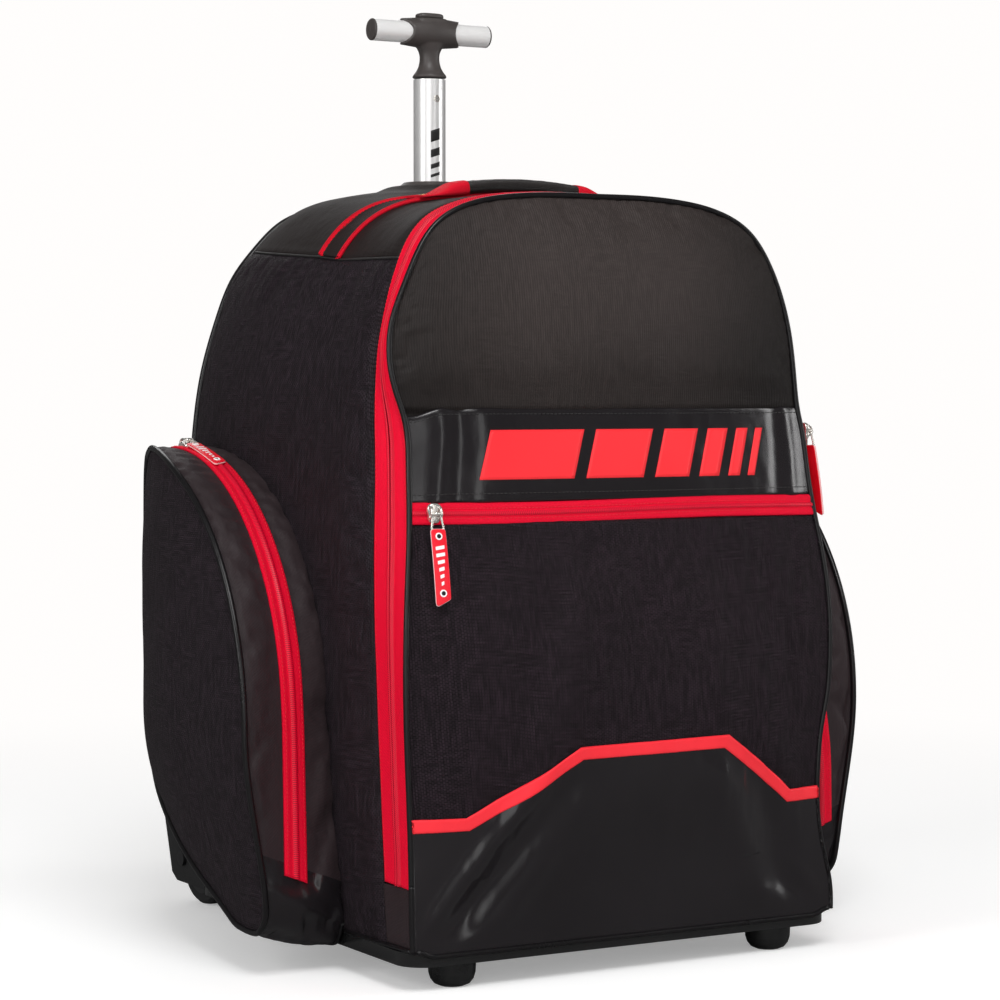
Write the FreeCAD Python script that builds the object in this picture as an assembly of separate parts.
import FreeCAD, Part
import math
import os
from FreeCAD import Vector as V

# Wheeled hockey equipment bag, upright on two front feet and two rear wheels.
# Millimetres.  X is across the bag (right is +X), -Y is the front, +Z is up, the ground is Z = 0.
# Pieces are drawn in one working frame, and each is moved along Y by Y_SHIFT when it is
# written, which puts the origin under the centre of the overall box.

os.makedirs("parts", exist_ok=True)

# ---------------------------------------------------------------- driving dimensions
Y_SHIFT = -34.1
X_AXIS, Y_AXIS, Z_AXIS = V(1, 0, 0), V(0, 1, 0), V(0, 0, 1)
REACH = 420.0                     # cutting shapes reach this far to each side of the bag
CLEAR_Z = 760.0                   # height of cutting shapes, clear of the shell
FIT = 0.05                        # radial clearance round shafts and pins

BASE_Z = 34.0                     # bottom edge of the fabric shell, top of the base tray
HINGE_Z = 90.0                    # fold line of the front flap
SEAM_TOP_Z = 719.0                # the front seams are cut up to here
SHELL_T = 4.0                     # padded side and top fabric
FLAP_INSET = 4.6                  # the flap and its layers lie this far inside the outer form
BACK_Y0, BACK_Y1 = 212.0, 218.0   # padded back panel
ON_BACK_Y = BACK_Y1 + 0.2         # front of what is mounted on the back panel

SCREW_R, SCREW_HOLE_R = 2.5, 2.7
CHASSIS_SCREW_X, CHASSIS_SCREW_Z = (160.0, 195.0), 147.0
FOOT_X, FOOT_Y, FOOT_R = 163.0, -190.0, 20.5

# Half outlines of the fabric shell, bottom to top: (X, Z)
FRONT_OUTLINE = [
    (213, 34), (213, 46), (212, 120), (212, 250), (208, 320), (196, 400), (187, 480),
    (180, 545), (170, 590), (152, 618), (122, 640), (84, 652), (40, 657), (0, 658)]
# Stations from front to back: Y, half outline
STATIONS = [
    (-262.0, FRONT_OUTLINE),
    (-212.0, FRONT_OUTLINE),
    (-157.0, [
        (215, 34), (216, 46), (219, 120), (223, 250), (223, 345), (219, 445), (209, 530),
        (197, 580), (181, 619), (162, 644), (130, 661), (90, 669), (40, 672), (0, 672)]),
    (-100.0, [
        (216, 34), (217, 46), (223, 120), (228, 250), (229, 370), (224, 460), (213, 540),
        (200, 585), (181, 625), (155, 652), (120, 668), (80, 675), (40, 677), (0, 677)]),
    (0.0, [
        (216, 34), (217, 46), (226, 120), (231, 250), (232, 380), (227, 465), (216, 540),
        (202, 587), (183, 625), (156, 654), (120, 671), (80, 677), (40, 680), (0, 680)]),
    (190.0, [
        (214, 34), (215, 46), (222, 120), (226, 250), (226, 400), (223, 460), (213, 525),
        (198, 574), (182, 612), (158, 643), (129, 669), (97, 681), (50, 689), (0, 692)]),
    (222.0, [
        (212, 34), (213, 46), (219, 120), (222, 250), (221, 400), (217, 458), (207, 522),
        (192, 570), (176, 606), (152, 636), (124, 661), (93, 673), (50, 681), (0, 684)]),
]
# Front seam of the flap: (Z, Y)
FRONT_SEAM = [
    (0, -214), (100, -214), (250, -210), (300, -207), (350, -201), (400, -193),
    (450, -184), (500, -175), (540, -168), (600, -162), (671, -157), (720, -154)]
# Rear edge of the main zip tape: (Z, Y)
TAPE_EDGE = [
    (0, -172), (100, -168), (250, -164), (350, -160), (450, -156),
    (540, -146), (600, -141), (671, -130), (720, -124)]
# Forward bow of the flap's face and of the front pocket: (Z, bow)
BOW_FLAP = [
    (60, 0.0), (90, 0.0), (300, 1.0), (360, 4.0), (391, 10.0), (410, 11.5),
    (450, 13.0), (500, 14.0), (560, 13.5), (610, 11.0), (645, 7.0), (700, 2.0)]
BOW_POCKET = [
    (60, 2.0), (90, 5.0), (110, 12.0), (150, 24.0), (200, 31.0),
    (250, 30.0), (300, 24.0), (350, 17.5), (391, 13.0), (420, 11.0)]


# ---------------------------------------------------------------- general helpers
def lerp(table, x):
    """Linear interpolation in a table, held constant beyond its ends."""
    if x <= table[0][0]:
        return float(table[0][1])
    for (x0, value0), (x1, value1) in zip(table, table[1:]):
        if x <= x1:
            return value0 + (value1 - value0) * (x - x0) / (x1 - x0)
    return float(table[-1][1])


def box(x0, x1, y0, y1, z0, z1):
    return Part.makeBox(x1 - x0, y1 - y0, z1 - z0, V(x0, y0, z0))


def wide_box(y0, y1, z0, z1):
    """Box reaching past both sides of the bag."""
    return box(-REACH, REACH, y0, y1, z0, z1)


def rounded_box(radius, axis, *limits):
    """Box with its four edges along axis rounded."""
    block = box(*limits)
    edges = [e for e in block.Edges if abs(e.tangentAt(e.FirstParameter).dot(axis)) > 0.99]
    return block.makeFillet(radius, edges)


def cyl(start, axis, radius, length):
    return Part.makeCylinder(radius, length, V(*start), axis)


def polygon_face(points):
    return Part.Face(Part.makePolygon(points + [points[0]]))


def prism_yz(outline, x0=-REACH, x1=REACH):
    return polygon_face([V(x0, y, z) for y, z in outline]).extrude(V(x1 - x0, 0, 0))


def prism_xz(outline, y0, y1):
    return polygon_face([V(x, y0, z) for x, z in outline]).extrude(V(0, y1 - y0, 0))


def revolve(profile, at=(0, 0, 0)):
    """Solid of revolution about Z from (radius, Z) points, moved to at."""
    solid = polygon_face([V(r, 0, z) for r, z in profile]).revolve(V(0, 0, 0), Z_AXIS, 360)
    solid.translate(V(*at))
    return solid


def mirror_x(shape):
    return shape.mirror(V(0, 0, 0), X_AXIS)


def with_mirror(shape):
    return Part.makeCompound([shape, mirror_x(shape)])


def put(name, shape):
    """Write the solids of a piece, without slivers, in the final frame."""
    solids = [s for s in shape.Solids if s.Volume > 1.0]
    piece = (solids[0] if len(solids) == 1 else Part.makeCompound(solids)).copy()
    piece.translate(V(0, Y_SHIFT, 0))
    piece.exportStep("parts/" + name + ".step")


def put_sides(pattern, shape):
    """Write a right-hand piece and its mirror image."""
    put(pattern.format("right"), shape)
    put(pattern.format("left"), mirror_x(shape))


# ---------------------------------------------------------------- the bag's form
def front_y(z):
    return lerp(FRONT_SEAM, z)


def tape_y(z):
    return lerp(TAPE_EDGE, z)


def coil_y(z):
    return 0.5 * (front_y(z) + tape_y(z))


def seam_strip(front, rear, z0, z1):
    """Prism across the bag between two curves that give Y from Z."""
    levels = sorted({z0, z1} | {z for z, _ in FRONT_SEAM + TAPE_EDGE if z0 < z < z1})
    return prism_yz([(front(z), z) for z in levels] + [(rear(z), z) for z in reversed(levels)])


def inset_outline(half, inset):
    """Move a half outline inwards by inset (outwards if negative)."""
    moved = [(half[0][0] - inset, half[0][1])]
    for (x0, z0), (x, z), (x1, z1) in zip(half, half[1:], half[2:]):
        dx, dz = x1 - x0, z1 - z0
        length = math.hypot(dx, dz)
        moved.append((x - dz / length * inset, z + dx / length * inset))
    moved.append((half[-1][0], half[-1][1] - inset))
    return moved


_bodies = {}


def body(inset):
    """The bag's outer form, moved inwards by inset: a loft through the stations."""
    if inset not in _bodies:
        wires = []
        for y, half in STATIONS:
            moved = inset_outline(half, inset)
            points = [V(-x, y, z) for x, z in moved[:-1]]
            points += [V(x, y, z) for x, z in reversed(moved)]
            curve = Part.BSplineCurve()
            curve.interpolate(points)
            wires.append(Part.Wire([curve.toShape(), Part.makeLine(points[-1], points[0])]))
        _bodies[inset] = Part.makeLoft(wires, True, False)
    return _bodies[inset].copy()


def layer(outer, inner):
    """Skin of the outer form between two insets."""
    return body(outer).cut(body(inner))


def half_width(z, y):
    """Half width of the outer form at height z on plane y, linear between stations."""
    def outline_width(half):
        return max([0.0] + [x0 + (x1 - x0) * (z - z0) / (z1 - z0 + 1e-9)
                            for (x0, z0), (x1, z1) in zip(half, half[1:]) if z0 <= z <= z1])

    for (y0, half0), (y1, half1) in zip(STATIONS, STATIONS[1:]):
        if y0 <= y <= y1:
            t = (y - y0) / (y1 - y0)
            return outline_width(half0) * (1 - t) + outline_width(half1) * t
    return outline_width(STATIONS[-1][1])


SHEET_OVERHANG = 1.0      # bowed sheets start this far outside the form on each side
SHEET_TOP_Z = 668.0       # above this height their width stays constant
SHEET_MIN_HALF = 60.0
MIN_BOW = 0.05            # keeps the arcs from going straight


def bowed_sheet(bow_table, back, front, z0, z1, steps):
    """Sheet between two depths in front of the bowed face, trimmed to the bag's form."""
    wires = []
    for i in range(steps + 1):
        z = z0 + (z1 - z0) * i / steps
        y = front_y(z)
        bow = lerp(bow_table, z)
        if bow < MIN_BOW:
            bow += MIN_BOW
        w = max(half_width(min(z, SHEET_TOP_Z), y), SHEET_MIN_HALF) + SHEET_OVERHANG
        front_left, front_right = V(-w, y - front, z), V(w, y - front, z)
        back_left, back_right = V(-w, y - back, z), V(w, y - back, z)
        wires.append(Part.Wire([
            Part.Arc(front_left, V(0, y - bow - front, z), front_right).toShape(),
            Part.makeLine(front_right, back_right),
            Part.Arc(back_right, V(0, y - bow - back, z), back_left).toShape(),
            Part.makeLine(back_left, front_left)]))
    return Part.makeLoft(wires, True, False).common(body(FLAP_INSET))


# ---------------------------------------------------------------- tube axis helpers
TUBE_Y = 147.0            # axis of the telescopic tube


def tube_cyl(z, radius, length):
    """Upright cylinder on the tube axis, from height z."""
    return cyl((0, TUBE_Y, z), Z_AXIS, radius, length)


def tube_revolve(profile):
    return revolve(profile, (0, TUBE_Y, 0))


def tube_limits(half_x, half_y, z0, z1):
    """Limits of a box centred on the tube axis."""
    return -half_x, half_x, TUBE_Y - half_y, TUBE_Y + half_y, z0, z1


def collar_hole():
    return tube_cyl(600, 28.0, 200)


# ---------------------------------------------------------------- fabric shell
# Region above the seam between the side panels and the top panel: (Y, Z)
TOP_REGION = [(-300, 613), (-28, 619), (12, 623), (300, 642), (300, CLEAR_Z), (-300, CLEAR_Z)]


def chassis_hole(x):
    return cyl((x, 200, CHASSIS_SCREW_Z), Y_AXIS, SCREW_HOLE_R, 40)


def put_walls_and_top():
    behind_tape = seam_strip(tape_y, lambda z: BACK_Y0, BASE_Z, SEAM_TOP_Z)
    wall = layer(0.0, SHELL_T).common(behind_tape)
    top_region = prism_yz(TOP_REGION)
    walls = wall.cut(top_region)
    put("side_panel_left", walls.common(box(-REACH, 0, -300, 300, 0, CLEAR_Z)))
    put("side_panel_right", walls.common(box(0, REACH, -300, 300, 0, CLEAR_Z)))
    put("top_panel", wall.common(top_region).cut(collar_hole()))


def back_panel():
    panel = body(0.5).common(wide_box(BACK_Y0, BACK_Y1, BASE_Z, CLEAR_Z))
    for side in (-1, 1):
        for x in CHASSIS_SCREW_X:
            panel = panel.cut(chassis_hole(side * x))
    return panel


put_walls_and_top()
put("back_panel", back_panel())

# Trim over the top: fabric band between two raised piping cords
TRIM_Y0, TRIM_Y1, TRIM_Z0 = -24, 8, 621
CORD_W, CORD_GAP = 4.0, 0.5
put("top_strip", layer(-1.6, -0.1).common(wide_box(TRIM_Y0, TRIM_Y1, TRIM_Z0, CLEAR_Z)))
cords = layer(-3.0, -0.1)
put("top_strip_piping", Part.makeCompound([
    cords.common(wide_box(y, y + CORD_W, TRIM_Z0, CLEAR_Z))
    for y in (TRIM_Y0 - CORD_GAP - CORD_W, TRIM_Y1 + CORD_GAP)]))

# Main zip: one tape along the walls, one along the flap, with a gap between them
HALF_COIL_GAP = 0.3
tape_ring = layer(0.0, 2.5)
put("main_zip_tape_body", tape_ring.common(seam_strip(
    lambda z: coil_y(z) + HALF_COIL_GAP, lambda z: tape_y(z) - 0.05, HINGE_Z, SEAM_TOP_Z)))
put("main_zip_tape_flap", tape_ring.common(seam_strip(
    front_y, lambda z: coil_y(z) - HALF_COIL_GAP, HINGE_Z, SEAM_TOP_Z)))

# ---------------------------------------------------------------- front flap
FRONT_ZIP_Z = 400.0
POCKET_TOP_Z = FRONT_ZIP_Z - 9.0
BAND_Z = FRONT_ZIP_Z + 9.0
BAND_H = 80.0
FRONT_TAPE_HALF = 8.7
FRONT_TAPE_FACE = 2.6     # depth of the tape's front in front of the flap

put("front_flap_panel", bowed_sheet(BOW_FLAP, -4.0, 0.0, HINGE_Z, 690.0, 14))
put("gloss_band", bowed_sheet(BOW_FLAP, 0.15, 1.5, BAND_Z, BAND_Z + BAND_H, 4))
put("front_pocket_shell", bowed_sheet(BOW_POCKET, 0.2, 3.2, HINGE_Z, POCKET_TOP_Z, 12))
put("front_zip_tape", bowed_sheet(BOW_FLAP, 0.2, FRONT_TAPE_FACE, FRONT_ZIP_Z - FRONT_TAPE_HALF,
                                  FRONT_ZIP_Z + FRONT_TAPE_HALF, 2))

# Guard on the lower pocket and the stripe along its top edge: (X, Z)
GUARD = [(-230, 80), (-230, 136), (-160, 138), (-66, 191),
         (78, 192), (165, 138), (230, 136), (230, 80)]
STRIPE = [(-230, 136.2), (-230, 148), (-164, 149.5), (-68, 203),
          (80, 204), (169, 149.5), (230, 148), (230, 136.2),
          (165.2, 138.2), (78, 192.3), (-66, 191.3), (-160.2, 138.2)]
guard_sheet = bowed_sheet(BOW_POCKET, 3.35, 4.55, HINGE_Z, POCKET_TOP_Z, 12)
for name, outline in (("lower_guard", GUARD), ("guard_stripe", STRIPE)):
    put(name, guard_sheet.common(prism_xz(outline, -300, -150)))

put("front_piping", layer(-1.2, 3.6).common(seam_strip(
    lambda z: front_y(z) - 5.0, lambda z: front_y(z) - 0.15, HINGE_Z, SEAM_TOP_Z)))


def front_lower_panel():
    """Fixed strip under the fold line, with its returns along the sides."""
    front, rear = -213.5, -209.5
    levels = (BASE_Z, HINGE_Z - 0.3)
    returns = layer(0.0, SHELL_T).common(wide_box(front, -168.5, *levels))
    returns = returns.cut(seam_strip(lambda z: tape_y(z) - 0.05, lambda z: 0, 0, 200))
    face = box(-209, 209, front, rear, *levels).common(body(SHELL_T + 0.05))
    edge = body(0.0).common(wide_box(front, rear, *levels))
    return face.fuse(returns).fuse(edge).removeSplitter()


put("front_lower_panel", front_lower_panel())

# ---------------------------------------------------------------- base
# Foot and its screw: (radius, Z)
SCREW_SEAT_Z = 12.0
FOOT_PROFILE = [
    (6.0, 0.0), (11.0, 0.0), (15.5, 2.0), (18.6, 6.0), (20.1, 11.0), (FOOT_R, 17.0),
    (FOOT_R, 29.9), (SCREW_HOLE_R, 29.9), (SCREW_HOLE_R, SCREW_SEAT_Z), (6.0, SCREW_SEAT_Z)]
FOOT_SCREW_PROFILE = [
    (0, 8.0), (5.2, 8.0), (5.2, 11.0), (3.6, SCREW_SEAT_Z), (SCREW_R, SCREW_SEAT_Z),
    (SCREW_R, 41.0), (0, 41.0)]


def cut_foot_holes(shape):
    for side in (-1, 1):
        shape = shape.cut(cyl((side * FOOT_X, FOOT_Y, 0), Z_AXIS, SCREW_HOLE_R, 60))
    return shape


def revolve_at_feet(profile):
    return [revolve(profile, (side * FOOT_X, FOOT_Y, 0)) for side in (-1, 1)]


def base_tray():
    tray = rounded_box(26.0, Z_AXIS, -217, 217, -216, 217.6, 22, BASE_Z)
    underside = rounded_box(20.0, Z_AXIS, -212, 212, -211.5, 213, 20, 30)
    return cut_foot_holes(tray.cut(underside))


def base_board():
    board = rounded_box(20.0, Z_AXIS, -205, 205, -203, 206, BASE_Z + 0.1, 38.0)
    return cut_foot_holes(board.common(body(4.6)))


put("base_tray", base_tray())
put("base_board", base_board())
put("front_feet", Part.makeCompound(revolve_at_feet(FOOT_PROFILE)))

# ---------------------------------------------------------------- rear wheels and housings
WHEEL_Y, WHEEL_R = 268.0, 47.0
WHEEL_X0, WHEEL_X1 = 163.0, 192.0
WHEEL_W = WHEEL_X1 - WHEEL_X0
WELL_SIDE, WELL_RIM = 2.5, 4.0    # clearance beside and around the wheel
HUB_R = 36.0
HUB_HOLES, HUB_HOLE_R, HUB_HOLE_CIRCLE_R = 5, 4.6, 23.4
BEARING_R, BEARING_DEPTH, BEARING_RECESS = 11.0, 7.2, 0.2
AXLE_R, AXLE_X, AXLE_LENGTH = 4.0, 143.5, 66.5
AXLE_HEAD_X, AXLE_HEAD_R = 208.1, 7.5     # head at the outer end
AXLE_END_R, AXLE_HEAD_T = 6.0, 3.4        # head at the inner end, thickness of both
# Side outline of the housing: (Y, Z)
HOUSING = [
    (ON_BACK_Y, 23), (ON_BACK_Y, 164), (222.4, 164), (222.4, 131), (262, 125),
    (296, 106), (313, 82), (303, 52), (296, 30), (284, 23)]


def wheel_cyl(x, radius, length):
    """Cylinder on the wheel axis, from x outwards."""
    return cyl((x, WHEEL_Y, WHEEL_R), X_AXIS, radius, length)


def wheel_housing():
    house = prism_yz(HOUSING, 147, 208)
    house = house.cut(wheel_cyl(WHEEL_X0 - WELL_SIDE, WHEEL_R + WELL_RIM, WHEEL_W + 2 * WELL_SIDE))
    house = house.cut(wheel_cyl(140, AXLE_R + FIT, 80))
    for x in CHASSIS_SCREW_X:
        house = house.cut(chassis_hole(x))
    # clear the bag's curved back
    return house.cut(body(-0.2).common(box(-300, 300, 0, BACK_Y1 + 0.1, 0, 700)))


def all_screws():
    """The feet's screws and those of the wheel housings."""
    screws = revolve_at_feet(FOOT_SCREW_PROFILE)
    for side in (-1, 1):
        for x in CHASSIS_SCREW_X:
            shank = cyl((side * x, 208.5, CHASSIS_SCREW_Z), Y_AXIS, SCREW_R, 14.0)
            head = cyl((side * x, 222.5, CHASSIS_SCREW_Z), Y_AXIS, 5.0, 2.6)
            screws.append(shank.fuse(head))
    return Part.makeCompound(screws)


def axle():
    shaft = wheel_cyl(AXLE_X, AXLE_R, AXLE_LENGTH)
    shaft = shaft.fuse(wheel_cyl(AXLE_HEAD_X, AXLE_HEAD_R, AXLE_HEAD_T))
    return shaft.fuse(wheel_cyl(AXLE_X, AXLE_END_R, AXLE_HEAD_T))


# The wheel's parts are turned about Z from Z = 0 to WHEEL_W, then laid along the axle.
def on_axle(shape):
    shape.rotate(V(0, 0, 0), Y_AXIS, 90)
    shape.translate(V(WHEEL_X0, WHEEL_Y, WHEEL_R))
    return shape


def wheel_hub():
    w = WHEEL_W
    hub = revolve([
        (BEARING_R, 0.0), (15.0, 0.0), (17.0, 6.0), (30.0, 6.0), (31.0, 1.5), (HUB_R, 1.5),
        (HUB_R, w - 1.5), (31.0, w - 1.5), (30.0, w - 6.0), (17.0, w - 6.0), (15.0, w),
        (BEARING_R, w), (BEARING_R, w - BEARING_DEPTH), (9.0, w - BEARING_DEPTH),
        (9.0, BEARING_DEPTH), (BEARING_R, BEARING_DEPTH)])
    for i in range(HUB_HOLES):
        angle = math.radians(360 / HUB_HOLES * i)
        x, y = HUB_HOLE_CIRCLE_R * math.cos(angle), HUB_HOLE_CIRCLE_R * math.sin(angle)
        hub = hub.cut(cyl((x, y, -1), Z_AXIS, HUB_HOLE_R, w + 2))
    return hub


def tyre():
    w = WHEEL_W
    return revolve([
        (HUB_R, 2.0), (44.0, 2.0), (46.2, 4.5), (WHEEL_R, 9.0),
        (WHEEL_R, w - 9.0), (46.2, w - 4.5), (44.0, w - 2.0), (HUB_R, w - 2.0)])


def bearings():
    bore = AXLE_R + FIT
    return Part.makeCompound([
        revolve([(bore, z0), (BEARING_R, z0), (BEARING_R, z1), (bore, z1)])
        for z0, z1 in ((BEARING_RECESS, BEARING_DEPTH),
                       (WHEEL_W - BEARING_DEPTH, WHEEL_W - BEARING_RECESS))])


put_sides("wheel_housing_{}", wheel_housing())
put("chassis_screws", all_screws())
put("axles", with_mirror(axle()))
put_sides("wheel_hub_{}", on_axle(wheel_hub()))
put_sides("tyre_{}", on_axle(tyre()))
put_sides("bearings_{}", on_axle(bearings()))

# ---------------------------------------------------------------- telescopic handle
OUTER_R, OUTER_BORE = 18.0, 15.6
INNER_R, INNER_BORE = 15.5, 14.0
INNER_Z0, INNER_Z1 = 330.0, 802.0
KEY_HALF = 3.6                    # half width of the outer tube's key slot
GRIP_Z, GRIP_R, GRIP_HALF = 847.0, 10.5, 62.0
ROD_R, ROD_HOLE_R = 3.0, 3.4      # push rod of the release button
RIVET_Z, RIVET_R = 783, 2.0
LATCH_Z, LATCH_R = 345, 3.0
SPRING_PITCH, SPRING_H, SPRING_R, SPRING_WIRE_R = 4.4, 22.0, 6.0, 0.7
# Collar, the lip inside its top, and the grip's hub: (radius, Z)
COLLAR = [(OUTER_R + 0.1, 676), (27.6, 676), (27.6, 690), (30.5, 694), (30.0, 699),
          (25.0, 703), (OUTER_R + 0.1, 703)]
COLLAR_LIP = [(INNER_R + 0.2, 700.2), (20.0, 700.2), (20.0, 703), (INNER_R + 0.2, 703)]
HUB_PROFILE = [
    (0, 740), (13.9, 740), (13.9, 802.2), (16.2, 802.2), (16.2, 808), (12.0, 813), (9.2, 820),
    (9.4, 827), (13.0, 832), (16.0, 838), (16.0, 846), (0, 846)]
END_CAP = [(0, 0), (GRIP_R, 0), (GRIP_R, 0.9), (GRIP_R - 0.9, 1.9), (0, 2.3)]


def rivet_hole():
    return cyl((0, TUBE_Y - 30, RIVET_Z), Y_AXIS, RIVET_R + FIT, 60)


def foot_bracket():
    bracket = rounded_box(8.0, Z_AXIS, *tube_limits(36, 27, 38.2, 62))
    return bracket.cut(tube_cyl(41.5, OUTER_R + FIT, 60))


def outer_tube():
    tube = tube_cyl(42, OUTER_R, 658).cut(tube_cyl(30, OUTER_BORE, 700))
    return tube.cut(box(-KEY_HALF, KEY_HALF, TUBE_Y + 10, TUBE_Y + 30, 80, 690))


def handle_collar():
    collar = tube_revolve(COLLAR).fuse(tube_revolve(COLLAR_LIP)).removeSplitter()
    top_fabric = body(-0.15).common(box(-60, 60, 100, 200, 640, 720))
    return collar.cut(top_fabric.cut(collar_hole()))


def inner_tube():
    tube = tube_cyl(INNER_Z0, INNER_R, INNER_Z1 - INNER_Z0)
    tube = tube.cut(tube_cyl(INNER_Z0 - 5, INNER_BORE, 600))
    tube = tube.cut(cyl((0, TUBE_Y, LATCH_Z), Y_AXIS, LATCH_R + FIT, 30))
    return tube.cut(rivet_hole())


def handle_hub():
    block = rounded_box(7.0, X_AXIS, *tube_limits(30, 16, GRIP_Z - 16, GRIP_Z + 16))
    hub = tube_revolve(HUB_PROFILE).fuse(block)
    hub = hub.cut(cyl((-80, TUBE_Y, GRIP_Z), X_AXIS, GRIP_R + FIT, 160))
    hub = hub.cut(tube_cyl(730, ROD_HOLE_R, 140))
    hub = hub.cut(tube_cyl(744, 8.6, 50))                      # spring chamber
    hub = hub.cut(box(*tube_limits(14.3, 8.3, 857.8, 870)))    # button recess
    return hub.cut(rivet_hole()).removeSplitter()


def grip_bar():
    bar = cyl((-GRIP_HALF, TUBE_Y, GRIP_Z), X_AXIS, GRIP_R, 2 * GRIP_HALF)
    return bar.cut(tube_cyl(820, ROD_HOLE_R, 60))


def grip_end_cap():
    cap = revolve(END_CAP)
    cap.rotate(V(0, 0, 0), Y_AXIS, 90)
    cap.translate(V(GRIP_HALF + 0.05, TUBE_Y, GRIP_Z))
    return cap


def hub_rivets():
    """Short rivets front and rear, which leave room for the push rod between them."""
    return Part.makeCompound([cyl((0, TUBE_Y + side * 9.6, RIVET_Z), V(0, side, 0), RIVET_R, 5.7)
                              for side in (-1, 1)])


def release_button():
    pad = rounded_box(3.0, Z_AXIS, *tube_limits(14, 8, 861.4, 866.0))
    rod = tube_cyl(356, ROD_R, 506).fuse(tube_cyl(768, 8.0, 3.0))
    return pad.fuse(rod).removeSplitter()


def latch_spring():
    helix = Part.makeHelix(SPRING_PITCH, SPRING_H, SPRING_R)
    section = Part.Wire([Part.makeCircle(SPRING_WIRE_R, V(SPRING_R, 0, 0), V(0, 1, 0.12))])
    spring = Part.Wire(helix.Edges).makePipeShell([section], True, True)
    spring.translate(V(0, TUBE_Y, 744.9))
    return spring


put("handle_foot_bracket", foot_bracket())
put("handle_outer_tube", outer_tube())
put("handle_collar", handle_collar())
put("handle_inner_tube", inner_tube())
put("handle_hub", handle_hub())
put("grip_bar", grip_bar())
put("grip_end_caps", with_mirror(grip_end_cap()))
put("hub_rivets", hub_rivets())
put("release_button", release_button())
put("latch_pin", cyl((0, TUBE_Y + 6.0, LATCH_Z), Y_AXIS, LATCH_R, 10.9))
put("latch_spring", latch_spring())

# ---------------------------------------------------------------- carry handle on the top
# Arched grip, lower edge and then upper edge: (X, Z)
CARRY_GRIP = [
    (-78, 677.0), (-60, 680.2), (-30, 683.2), (0, 684.2), (30, 683.2), (60, 680.2), (78, 677.0),
    (78, 683.5), (60, 687.2), (30, 690.0), (0, 691.0), (-30, 690.0), (-60, 687.2), (-78, 683.5)]
TAB_X0, TAB_X1 = 78.6, 104
put("carry_handle_grip", prism_xz(CARRY_GRIP, -34, -6).cut(body(-3.4)))
tabs = layer(-5.6, -3.3).common(wide_box(-35, -5, 640, CLEAR_Z))
put("carry_handle_tabs", Part.makeCompound([
    tabs.common(box(x0, x1, -40, 0, 600, CLEAR_Z))
    for x0, x1 in ((TAB_X0, TAB_X1), (-TAB_X1, -TAB_X0))]))

# ---------------------------------------------------------------- side pockets
POCKET_WALL_X, POCKET_SEAM_X = 222.0, 318.0    # wall side and outer seam
POCKET_ROOT_X = POCKET_WALL_X - 14.0           # inside the bag wall, so the form meets its curve
POCKET_T = 3.0
# Pocket arc at the bag wall and at the outer seam: centre (Y, Z) and radius
WALL_CENTRE, WALL_R = (127.0, 227.0), 219.0
SEAM_CENTRE, SEAM_R = (127.0, 214.0), 236.0
# Corners from the arc's front end round the bottom and back to its top: (Y, Z)
WALL_CORNERS = [(-96, 60), (-80, 38), (-40, 32), (190, 128),
                (204, 160), (204, 400), (186, 436), (160, 446)]
SEAM_CORNERS = [(-112, 66), (-98, 46), (-52, 45), (168, 150),
                (188, 190), (193, 370), (182, 412), (160, 440)]
# In plan the outer seam curves in by SEAM_TAPER over SEAM_TAPER_L, from SEAM_TAPER_Y backwards
SEAM_TAPER, SEAM_TAPER_Y, SEAM_TAPER_L, SEAM_TAPER_POWER = 42.0, 20.0, 175.0, 1.7
PLAN_Y = [-250.0] + [SEAM_TAPER_Y + 14.0 * i for i in range(16)]
# Stretch of the outline that carries the zip tape: (Y, Z)
POCKET_ZIP_ZONE = [(-400, 95), (-10, 95), (127, 300), (128, 600), (-400, 600)]
POCKET_TAPE_FACE = 1.8


def blend(a, b, t):
    """Point at fraction t of the way from a to b."""
    return tuple(p + (q - p) * t for p, q in zip(a, b))


def pocket_wire(x, centre, radius, corners, inset):
    """Closed pocket outline at x: an arc from top to front and the corners, inset."""
    cy, cz = centre
    points = [(cy - radius, cz)] + corners + [(cy, cz + radius)]
    moved = [V(x, cy - radius + inset, cz)]
    for before, point, after in zip(points, points[1:], points[2:]):
        d1 = (point[0] - before[0], point[1] - before[1])
        d2 = (after[0] - point[0], after[1] - point[1])
        length1, length2 = math.hypot(*d1), math.hypot(*d2)
        n1 = (-d1[1] / length1, d1[0] / length1)
        n2 = (-d2[1] / length2, d2[0] / length2)
        mitre = inset / (1 + n1[0] * n2[0] + n1[1] * n2[1])
        moved.append(V(x, point[0] + (n1[0] + n2[0]) * mitre, point[1] + (n1[1] + n2[1]) * mitre))
    moved.append(V(x, cy, cz + radius - inset))
    diagonal = (radius - inset) * math.sqrt(0.5)
    middle = V(x, cy - diagonal, cz + diagonal)
    arc = Part.Arc(moved[-1], middle, moved[0]).toShape()
    return Part.Wire([arc] + [Part.makeLine(a, b) for a, b in zip(moved, moved[1:])])


def pocket_form(inset, seam_x=POCKET_SEAM_X):
    """Right pocket's form, its wall side extrapolated inwards to POCKET_ROOT_X."""
    t = (POCKET_ROOT_X - POCKET_WALL_X) / (POCKET_SEAM_X - POCKET_WALL_X)
    centre = blend(WALL_CENTRE, SEAM_CENTRE, t)
    radius = WALL_R + (SEAM_R - WALL_R) * t
    corners = [blend(a, b, t) for a, b in zip(WALL_CORNERS, SEAM_CORNERS)]
    return Part.makeLoft([
        pocket_wire(POCKET_ROOT_X, centre, radius, corners, inset),
        pocket_wire(seam_x, SEAM_CENTRE, SEAM_R, SEAM_CORNERS, inset)], True, True)


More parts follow.
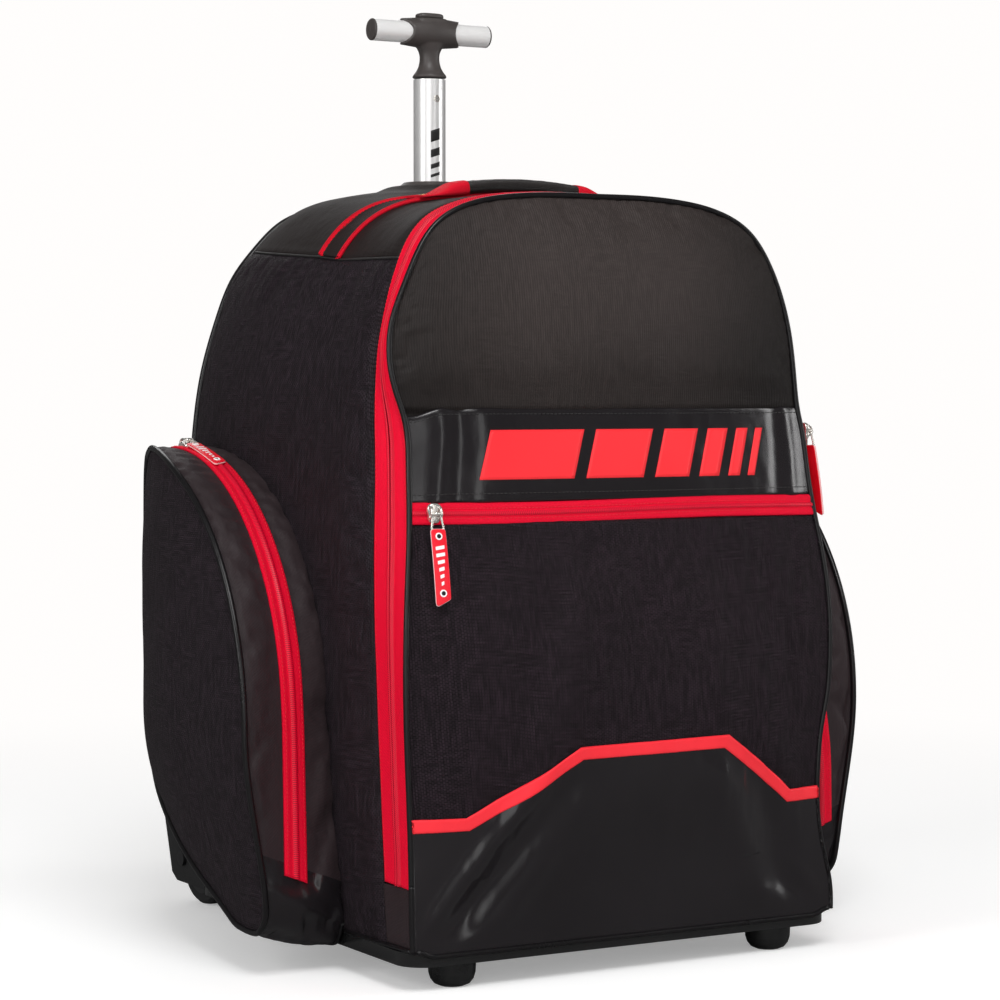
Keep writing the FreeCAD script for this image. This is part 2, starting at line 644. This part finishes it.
def seam_x_at(y):
    run = max(0.0, (y - SEAM_TAPER_Y) / SEAM_TAPER_L)
    return POCKET_SEAM_X - SEAM_TAPER * run ** SEAM_TAPER_POWER


def plan_band(inner, outer):
    """Upright prism between two X offsets of the pocket's outer seam."""
    points = [V(seam_x_at(y) + outer, y, 0) for y in PLAN_Y]
    points += [V(seam_x_at(y) + inner, y, 0) for y in reversed(PLAN_Y)]
    return polygon_face(points).extrude(V(0, 0, 600))


def pocket_gusset():
    gusset = pocket_form(0.0).cut(pocket_form(POCKET_T)).cut(body(-0.2))
    gusset = gusset.cut(box(-220, 220, -300, 300, 0, BASE_Z + 0.3))
    return gusset.common(plan_band(-160.0, 0.0))


def pocket_zip_tape():
    tape = pocket_form(-POCKET_TAPE_FACE).cut(pocket_form(-0.15))
    tape = tape.common(box(260, 280, -300, 300, 0, 600))
    return tape.common(prism_yz(POCKET_ZIP_ZONE, 200, 400))


put_sides("{}_pocket_gusset", pocket_gusset())
put_sides("{}_pocket_zip_tape", pocket_zip_tape())
put_sides("{}_pocket_face", pocket_form(1.0, POCKET_SEAM_X + 3.4).common(plan_band(0.1, 3.1)))
put("pocket_piping", with_mirror(
    pocket_form(-3.0).cut(pocket_form(-0.15)).common(plan_band(-5.0, -0.1))))

# ---------------------------------------------------------------- shoulder straps on the back
# Right strap, outer edge downwards and then inner edge upwards: (X, Z)
STRAP = [
    (28, 640), (72, 640), (78, 600), (98, 540), (120, 470), (132, 400), (134, 330), (126, 270),
    (112, 262), (84, 268), (84, 330), (80, 400), (66, 470), (44, 540), (30, 600)]
WEBBING = [(98, 236), (122, 236), (146, 176), (122, 170)]
put("shoulder_straps", Part.makeCompound([
    prism_xz([(side * x, z) for x, z in STRAP], ON_BACK_Y, 230.0) for side in (1, -1)]))
put("strap_webbing", with_mirror(prism_xz(WEBBING, 219.0, 221.0)))
buckle = box(94, 126, 218.8, 225, 238, 260)
for z in (243, 251):
    buckle = buckle.cut(box(99, 121, 210, 240, z, z + 4))
put("strap_buckles", with_mirror(buckle))

# ---------------------------------------------------------------- zip sliders and pull tags
SLIDER_BACK = 6.6         # from the pull's pivot to the fabric side of the slider
SLIDER_GAP = 1.2          # between the tape and the slider, front and side pockets


def slider_shape():
    """Slider at its pull's pivot: pivot along X, fabric on +Y, the pull hangs along -Z."""
    slider = rounded_box(2.0, Y_AXIS, -4.6, 4.6, 3.3, SLIDER_BACK, -6.0, 7.0)
    for x0, x1 in ((-4.6, -2.7), (2.7, 4.6)):
        slider = slider.fuse(box(x0, x1, -1.2, 3.6, -1.6, 1.6))
    return slider.fuse(cyl((-4.0, 0, 0), X_AXIS, 1.0, 8.0)).removeSplitter()


def pull_shape():
    """Eye, neck and flat tag with a slanted end, hanging from the pivot."""
    eye = cyl((-2.4, 0, 0), X_AXIS, 2.4, 4.8).fuse(box(-2.2, 2.2, -0.9, 0.9, -13.5, -1.0))
    tag = prism_xz([(-6.75, -12.5), (6.75, -12.5), (6.75, -72.0), (-6.75, -79.0)], -1.2, 1.2)
    return eye.fuse(tag).cut(cyl((-6, 0, 0), X_AXIS, 1.12, 12.0)).removeSplitter()


def place(shape, origin, x, z):
    """Put a local shape at origin with its X and Z axes along two unit vectors."""
    y = z.cross(x)
    shape.Placement = FreeCAD.Placement(FreeCAD.Matrix(
        x.x, y.x, z.x, origin.x, x.y, y.y, z.y, origin.y, x.z, y.z, z.z, origin.z, 0, 0, 0, 1))
    return shape


def put_slider_and_pull(prefix, pivot, up, outward, tilt):
    """up is the slider's own Z; the pull's end swings outwards by tilt degrees."""
    across = up.cross(outward)
    angle = math.radians(tilt)
    pull_up = up * math.cos(angle) - outward * math.sin(angle)
    put(prefix + "_slider", place(slider_shape(), pivot, across, up))
    put(prefix + "_pull", place(pull_shape(), pivot, across, pull_up))


def front_zip_fittings(pivot_x=-186.0):
    """The slider stands on the bowed zip's arc, whose vertical axis is far behind it."""
    y, bow = front_y(FRONT_ZIP_Z), lerp(BOW_FLAP, FRONT_ZIP_Z)
    half = half_width(FRONT_ZIP_Z, y) + SHEET_OVERHANG
    arc_r = (half * half + bow * bow) / (2 * bow)
    pivot_r = arc_r + FRONT_TAPE_FACE + SLIDER_GAP + SLIDER_BACK
    angle = math.asin(pivot_x / pivot_r)
    outward = V(math.sin(angle), -math.cos(angle), 0)
    pivot = V(0, y - bow + arc_r, FRONT_ZIP_Z) + outward * pivot_r
    put_slider_and_pull("front_zip", pivot, V(0, 0, 1), outward, 11.5)


def wall_point(y, z):
    """Point of the bag's right wall at (y, z)."""
    chord = Part.makeLine(V(100, y, z), V(400, y, z)).common(body(0.0))
    return V(chord.BoundBox.XMax, y, z)


def main_zip_fittings():
    """The slider stands at the top of a shallow arc down the right wall."""
    run = [(110, -190.5), (465, -168.0)]        # the run's ends: (Z, Y)
    points = [wall_point(lerp(run, z), z) for z in (465.0, 288.0, 110.0)]
    top, _, bottom = points
    down = V(0, bottom.y - top.y, bottom.z - top.z).normalize()
    outward = (top - Part.Circle(*points).Center).normalize()
    tangent = (down - outward * down.dot(outward)).normalize()
    pivot = top + outward * (2.6 + SLIDER_BACK)
    put_slider_and_pull("main_zip", pivot, tangent * -1.0, outward, 3.0)


def pocket_fittings():
    """The sliders stand on the pocket arcs, just forward of the top; the pulls lie forward."""
    cy, cz = blend(WALL_CENTRE, SEAM_CENTRE, 0.5)
    pivot_r = 0.5 * (WALL_R + SEAM_R) + POCKET_TAPE_FACE + SLIDER_GAP + SLIDER_BACK
    angle = math.radians(3.0)
    outward = V(0, -math.sin(angle), math.cos(angle))
    backward = V(0, math.cos(angle), math.sin(angle))
    for side, name in ((1, "right_pocket"), (-1, "left_pocket")):
        pivot = V(side * 270.0, cy, cz) + outward * pivot_r
        put_slider_and_pull(name, pivot, backward, outward, -12.0)


front_zip_fittings()
main_zip_fittings()
pocket_fittings()
